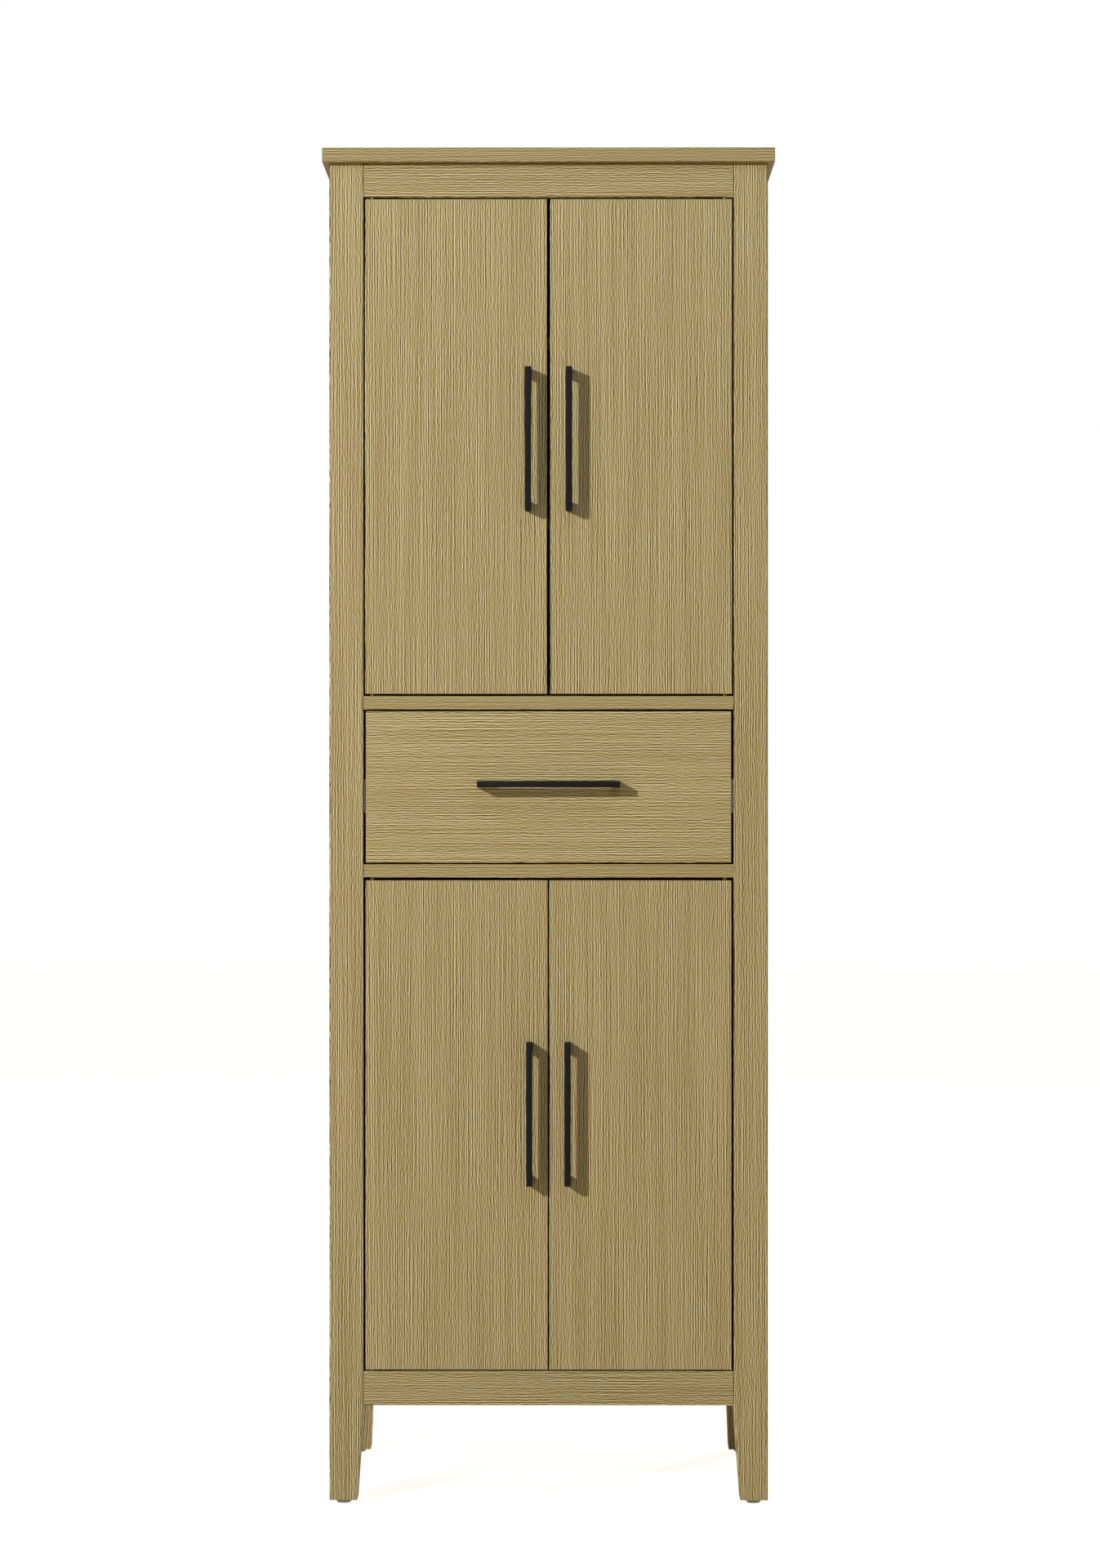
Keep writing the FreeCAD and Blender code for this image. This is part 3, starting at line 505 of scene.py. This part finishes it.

# Top: a thick laminated board with plain edge bands and the grain from side to side.
# It overhangs the front and the sides, and sits on dowels in the four posts.
# The top takes a darker copy of the print than the doors: painted shade.
top_oak = oak_laminate("oak_laminate_top", grain="x", banded="xy", tone=0.88)
coat(top_oak, "top_panel")

# Shelves: three loose laminated boards, banded along the front edge.
# Each lies on four turned steel pins that are pushed into holes in the side boards.
coat(banded_oak, "upper_shelf_high", "upper_shelf_low", "lower_shelf")

nickel_plate = fitting_finish(
    "nickel_plate", dark=(150, 148, 142), light=(186, 184, 178), cells=(700.0, 700.0, 700.0),
    roughness=(0.22, 0.36), metallic=1.0, relief=2e-5)
# radius and height from the rounded end in
pin_profile = [
    (0.0, 0.0), (0.0014, -0.0001), (0.0021, -0.0006), (0.0025, -0.0014),
    (0.0025, -0.0175), (0.0021, -0.018), (0.0, -0.018),
]
pin_model = lathe("pin_model", pin_profile, segments=24)
pin_places = []
for middle, facing, length in peg_places("shelf_pins"):
    faces_side_board = facing.x * middle.x > 0.0
    if faces_side_board:
        middle = middle - facing * length
        facing = -facing
    pin_places.append((middle, facing, length))
pins = grow(placed_fittings, "turned_shelf_pins", pin_places, fitting=pin_model, finish=nickel_plate)
bpy.data.objects.remove(pin_model)
fit(pins, "carcass", "shelf_pin_steel", "shelf_pins")

# Drawer slides: zinc-plated steel channels that run one inside another, three to a side.
# The outer one is screwed to the front post and to a plain fibreboard spacer behind it, and the
# inner one to the drawer.
coat(pressed_fibre("raw_fibreboard"), "runner_spacers")
zinc_plate = fitting_finish(
    "zinc_plate", dark=(138, 141, 143), light=(170, 172, 172), cells=(420.0, 30.0, 420.0),
    roughness=(0.26, 0.42), metallic=1.0, relief=3e-5)
for side in ("left", "right"):
    for channel in ("cabinet", "middle", "drawer"):
        coat(zinc_plate, f"{side}_slide_{channel}_member")

# Drawer box: thin birch boards with the grain along them, screwed together at the corners.
# The bottom board sits in grooves in all four.


def birch(name, grain):
    """Bare birch: pale, fine and nearly plain."""
    birch_shades = ((196, 168, 126), (214, 190, 150), (228, 208, 172))
    streak_share = 0.35
    material, tree, shader = new_material(name)
    coordinates = add_node(tree, "ShaderNodeTexCoord").outputs
    streak = pressed_grain(tree, coordinates, grain)
    figure = noise(tree, coordinates["Object"], across_and_along(grain, 60.0, 5.0), detail=3.0)[0]
    fine_tone = spread(tree, streak, 0.0, 1.0, 0.0, streak_share)
    wide_tone = spread(tree, figure, 0.3, 0.7, 0.0, 1.0 - streak_share)
    tone = number_step(tree, "ADD", fine_tone, wide_tone)
    colour = colour_ramp(tree, tone, [srgb(*shade) for shade in birch_shades])
    tree.links.new(colour, shader.inputs["Base Color"])
    matt_surface(tree, shader, streak, roughness=(0.7, 0.55), relief=0.0001)
    return material


coat(birch("birch_front_to_back", grain="y"), "drawer_left_side", "drawer_right_side")
coat(birch("birch_side_to_side", grain="x"), "drawer_inner_front", "drawer_back", "drawer_bottom")

# Drawer front and doors: slab boards in the same laminate, with plain bands round their edges.
# The grain is level on the drawer front and upright on the doors.
# Four screws from inside the box hold the drawer front to it.
# The drawer front takes a lighter copy of the print than the doors: painted light.
drawer_oak = oak_laminate("oak_laminate_drawer_front", grain="x", banded="xz", tone=1.04)
coat(drawer_oak, "drawer_front")
doors = ["upper_left_door", "upper_right_door", "lower_left_door", "lower_right_door"]
door_oak = oak_laminate("oak_laminate_doors", grain="z", banded="xz")
coat(door_oak, *doors)

# Handles: square steel bar with a foot at each end, coated in satin black powder.
# Bolts from inside, through the board, pull the two feet tight against it.


def bar_handle(name, foot, arris):
    """A square bar with two feet, drawn from the side. All edges but those at the seats are rounded."""
    low, high = box_of(solids_of(name)[0])
    upright_bar = high.z - low.z > high.x - low.x
    long, wide = ("z", "x") if upright_bar else ("x", "z")
    start = getattr(low, long)
    end = getattr(high, long)
    sides = (getattr(low, wide), getattr(high, wide))
    thickness = sides[1] - sides[0]
    front = low.y
    back = front + thickness
    seat = high.y
    outline = [
        (start, seat), (start, front), (end, front), (end, seat),
        (end - foot, seat), (end - foot, back), (start + foot, back), (start + foot, seat),
    ]
    mesh = bmesh.new()
    rows = []
    for side in sides:
        points = [{long: length, "y": depth, wide: side} for length, depth in outline]
        rows.append([mesh.verts.new((point["x"], point["y"], point["z"])) for point in points])
    near, far = rows
    mesh.faces.new(near)
    mesh.faces.new(far[::-1])
    for step in range(len(outline)):
        following = (step + 1) % len(outline)
        mesh.faces.new((near[step], far[step], far[following], near[following]))
    off_seat = [
        edge for edge in mesh.edges
        if any(abs(corner.co.y - seat) > same_point for corner in edge.verts)
    ]
    bmesh.ops.bevel(mesh, geom=off_seat, offset=arris, segments=3, profile=0.5, affect="EDGES")
    return mesh


black_powder = fitting_finish(
    "black_powder_coat", dark=(12, 12, 12), light=(20, 20, 19), cells=(1500.0, 1500.0, 1500.0),
    roughness=(0.5, 0.66), relief=6e-5, specular=0.11)
for body in doors + ["drawer"]:
    handle_mesh = bar_handle(f"{body}_handle", foot=0.012, arris=0.0006)
    handle = keep_mesh(f"{body}_bar_handle", handle_mesh, black_powder)
    soften(handle)
    fit(handle, body, "black_handle", f"{body}_handle")

# Hinges: brass pivot leaves let flush into the top and bottom ends of the doors, and into the rails
# and dividers. A pin on the fixed leaf turns in a hole in the door's, and no knuckle shows from
# the front.
# The brass is darkened as painted shade, so that the leaves read as dark as the shaded gaps round the
# doors.
aged_brass = fitting_finish(
    "aged_brass", dark=(62, 48, 27), light=(92, 74, 43), cells=(260.0, 260.0, 900.0),
    roughness=(0.3, 0.48), metallic=1.0, relief=3e-5)
coat(aged_brass, "frame_hinge_leaves", *[f"{door}_hinge_leaves" for door in doors])

# Magnetic catches: a moulded plastic housing, coloured dark brown as painted shade so that it reads as dark
# as the shaded centre gap, with two ferrite blocks let into it.
# One is screwed down on the upper divider and one up under the lower divider.
# A plated strike on the back of each door meets its magnet.
brown_plastic = fitting_finish(
    "brown_plastic", dark=(46, 36, 28), light=(60, 48, 38), cells=(600.0, 600.0, 600.0),
    roughness=(0.45, 0.6), relief=5e-5)
housing_arris = 0.001
housing_mesh = bmesh.new()
for points in solids_of("magnetic_catches"):
    low, high = box_of(points)
    corners = bmesh.ops.create_cube(housing_mesh, size=1.0)["verts"]
    for corner in corners:
        corner.co = Vector(low[axis] if corner.co[axis] < 0.0 else high[axis] for axis in range(3))
    edges = {edge for corner in corners for edge in corner.link_edges}
    bmesh.ops.bevel(
        housing_mesh, geom=list(edges), offset=housing_arris, segments=3, profile=0.5, affect="EDGES")
housings = keep_mesh("moulded_catch_housings", housing_mesh, brown_plastic)
for hollow in ("catch_magnets", "carcass_screws"):
    cut = housings.modifiers.new(hollow, "BOOLEAN")
    cut.operation = "DIFFERENCE"
    cut.solver = "EXACT"
    cut.object = nodes[hollow]
graph = bpy.context.evaluated_depsgraph_get()
cut_housings = bpy.data.meshes.new_from_object(housings.evaluated_get(graph), depsgraph=graph)
housings.modifiers.clear()
housings.data = cut_housings
cut_housings.materials.clear()
cut_housings.materials.append(brown_plastic)
soften(housings)
fit(housings, "carcass", "catch_plastic", "magnetic_catches")
ferrite = fitting_finish(
    "ferrite", dark=(38, 37, 37), light=(62, 60, 59), cells=(800.0, 800.0, 800.0),
    roughness=(0.55, 0.75), relief=1e-4)
coat(ferrite, "catch_magnets")
coat(zinc_plate, *[f"{door}_strike_plate" for door in doors])

# Screws and bolts: plated wood screws with sunk cross heads in the hinges, slides, catches, strikes
# and drawer. Pan-headed bolts on the inside of the doors and the drawer pull the handles tight.
cross_screws, screw_inputs = new_tree(
    "cross_screws", ("Face Diameter", "Float"), ("Neck Diameter", "Float"), ("Head Height", "Float"),
    ("Shank Diameter", "Float"), ("Recess Span", "Float"), ("Recess Depth", "Float"),
    ("Finish", "Material"))
face, neck, shank, span = [
    number_step(cross_screws, "MULTIPLY", screw_inputs[label], 0.5)
    for label in ("Face Diameter", "Neck Diameter", "Shank Diameter", "Recess Span")
]

# the head, a cone that hangs from its face
head_height = screw_inputs["Head Height"]
under_head = number_step(cross_screws, "MULTIPLY", head_height, -1.0)
cone = add_node(cross_screws, "GeometryNodeMeshCone", {
    "Vertices": 32, "Radius Top": face, "Radius Bottom": neck, "Depth": head_height,
})
head = moved(cross_screws, cone.outputs[0], upright(cross_screws, under_head))

# the cross recess, two wedges set at right angles
wedge_foot = 0.25
wedge_width = 0.3
recess_depth = screw_inputs["Recess Depth"]
wedge = add_node(cross_screws, "GeometryNodeMeshCone", {
    "Vertices": 4, "Radius Top": span,
    "Radius Bottom": number_step(cross_screws, "MULTIPLY", span, wedge_foot),
    "Depth": number_step(cross_screws, "MULTIPLY", recess_depth, 2.0),
})
recess_foot = upright(cross_screws, number_step(cross_screws, "MULTIPLY", recess_depth, -1.0))
slotted = add_node(cross_screws, "GeometryNodeMeshBoolean", {"Mesh 1": head}, operation="DIFFERENCE")
for turn in (0.0, math.pi / 2):
    blade = moved(
        cross_screws, wedge.outputs[0], recess_foot,
        Rotation=(0.0, 0.0, turn), Scale=(1.0, wedge_width, 1.0))
    cross_screws.links.new(blade, slotted.inputs["Mesh 2"])

# the shank, a stub whose far end is drawn out to the length of each screw
stub = 0.001
rod = add_node(cross_screws, "GeometryNodeMeshCylinder", {"Vertices": 16, "Radius": shank, "Depth": stub})
rod_middle = number_step(cross_screws, "SUBTRACT", under_head, stub / 2)
hung = moved(cross_screws, rod.outputs[0], upright(cross_screws, rod_middle))
position = add_node(cross_screws, "GeometryNodeInputPosition").outputs[0]
height = add_node(cross_screws, "ShaderNodeSeparateXYZ", {0: position}).outputs["Z"]
marked = add_node(cross_screws, "GeometryNodeStoreNamedAttribute", {
    "Geometry": hung, "Name": "tip", "Value": number_step(cross_screws, "LESS_THAN", height, rod_middle),
}, data_type="FLOAT", domain="POINT")
short_screw = joined(cross_screws, slotted.outputs["Mesh"], marked.outputs[0])
placed = on_every_point(cross_screws, screw_inputs, short_screw)
below_head = number_step(cross_screws, "SUBTRACT", named_values(cross_screws, "length"), head_height)
missing = number_step(cross_screws, "SUBTRACT", below_head, stub)
inwards = number_step(cross_screws, "MULTIPLY", named_values(cross_screws, "tip"), -1.0)
drive = number_step(cross_screws, "MULTIPLY", missing, inwards)
driven = scaled(cross_screws, named_values(cross_screws, "facing", "FLOAT_VECTOR"), drive)
stretched = add_node(cross_screws, "GeometryNodeSetPosition", {"Geometry": placed, "Offset": driven})
end_tree(cross_screws, screw_inputs, stretched.outputs[0])

screw_zinc = fitting_finish(
    "screw_zinc", dark=(142, 142, 138), light=(178, 177, 172), cells=(1200.0, 1200.0, 1200.0),
    roughness=(0.24, 0.4), metallic=1.0, relief=2e-5)
wood_screw = {
    "face_diameter": 0.0056, "neck_diameter": 0.003, "head_height": 0.0015, "shank_diameter": 0.003,
    "recess_span": 0.0034, "recess_depth": 0.0011, "finish": screw_zinc,
}
handle_bolt = {
    "face_diameter": 0.0066, "neck_diameter": 0.008, "head_height": 0.0024, "shank_diameter": 0.004,
    "recess_span": 0.0046, "recess_depth": 0.0016, "finish": screw_zinc,
}
widest_screw = 0.007  # a wider head is a bolt's
for body in ["carcass"] + doors + ["drawer"]:
    screw_places = []
    bolt_places = []
    for points, place in zip(solids_of(f"{body}_screws"), peg_places(f"{body}_screws")):
        low, high = box_of(points)
        width = sorted(high - low)[1]
        (bolt_places if width > widest_screw else screw_places).append(place)
    screws = grow(cross_screws, f"{body}_cross_screws", screw_places, **wood_screw)
    fit(screws, body, "screw_steel", f"{body}_screws")
    if bolt_places:
        bolts = grow(cross_screws, f"{body}_handle_bolts", bolt_places, **handle_bolt)
        fit(bolts, body, "screw_steel")

# Studio: not a piece of the cabinet. A pale floor and surround that read as plain white, and a soft
# overall fill. One round lamp stands high on the left, with a weak blue card overhead and a card
# that lights the back.


def seen_directly(tree):
    """One for a ray from the camera, a mirror or clear glass, and none for one that lights the object."""
    path = add_node(tree, "ShaderNodeLightPath").outputs
    mirrored = number_step(tree, "MAXIMUM", path["Is Glossy Ray"], path["Is Transmission Ray"])
    return number_step(tree, "MAXIMUM", path["Is Camera Ray"], mirrored)


floor_reach = 14.0
floor_glow = 0.9
floor_paint, floor_tree, floor_shader = new_material("studio_floor")
floor_shader.inputs["Base Color"].default_value = (0.52, 0.4, 0.2, 1.0)
floor_shader.inputs["Roughness"].default_value = 0.9
floor_shader.inputs["Emission Color"].default_value = (1.0, 1.0, 1.0, 1.0)
glow = spread(floor_tree, seen_directly(floor_tree), 0.0, 1.0, 0.0, floor_glow)
floor_tree.links.new(glow, floor_shader.inputs["Emission Strength"])
floor_mesh = bmesh.new()
floor_corners = []
for x, y in ((-1, -1), (1, -1), (1, 1), (-1, 1)):
    floor_corners.append(floor_mesh.verts.new((x * floor_reach, y * floor_reach, 0.0)))
floor_mesh.faces.new(floor_corners)
floor = keep_mesh("studio_floor", floor_mesh, floor_paint)

fill_strength = 0.12
surround = bpy.data.worlds.new("studio_surround")
surround.use_nodes = True
bpy.context.scene.world = surround
sky_tree = surround.node_tree
sky = sky_tree.nodes["Background"]
sky.inputs["Color"].default_value = (1.0, 1.0, 1.0, 1.0)
sky_strength = spread(sky_tree, seen_directly(sky_tree), 0.0, 1.0, fill_strength, 1.0)
sky_tree.links.new(sky_strength, sky.inputs["Strength"])


def studio_lamp(name, place, size, energy, colour):
    """A round lamp that points at the middle of the front."""
    middle_of_front = Vector((0.0, -0.18, 0.95))
    light = bpy.data.lights.new(name, "AREA")
    light.shape = "DISK"
    light.size = size
    light.energy = energy
    light.color = colour
    lamp = bpy.data.objects.new(name, light)
    lamp.location = place
    lamp.rotation_euler = (middle_of_front - lamp.location).to_track_quat("-Z", "Y").to_euler()
    bpy.context.scene.collection.objects.link(lamp)


studio_lamp("key_lamp", place=(-3.87, -5.02, 3.12), size=0.4, energy=334.0, colour=(1.0, 1.0, 0.985))
studio_lamp("back_card", place=(3.4, 3.9, 2.9), size=1.8, energy=150.0, colour=(1.0, 0.97, 0.93))
studio_lamp("overhead_card", place=(0.4, -2.4, 3.5), size=1.6, energy=17.0, colour=(0.72, 0.82, 1.0))

camera_lens = bpy.data.cameras.new("camera")
camera_lens.lens = 79.37
camera_lens.sensor_width = 36.0
camera = bpy.data.objects.new("camera", camera_lens)
camera.location = (0.0221, -4.8459, 0.9723)
camera_turn = math.radians(0.2472)
camera.rotation_euler = (math.pi / 2, 0.0, camera_turn)
bpy.context.scene.collection.objects.link(camera)
bpy.context.scene.camera = camera
bpy.context.scene.view_settings.view_transform = "Standard"
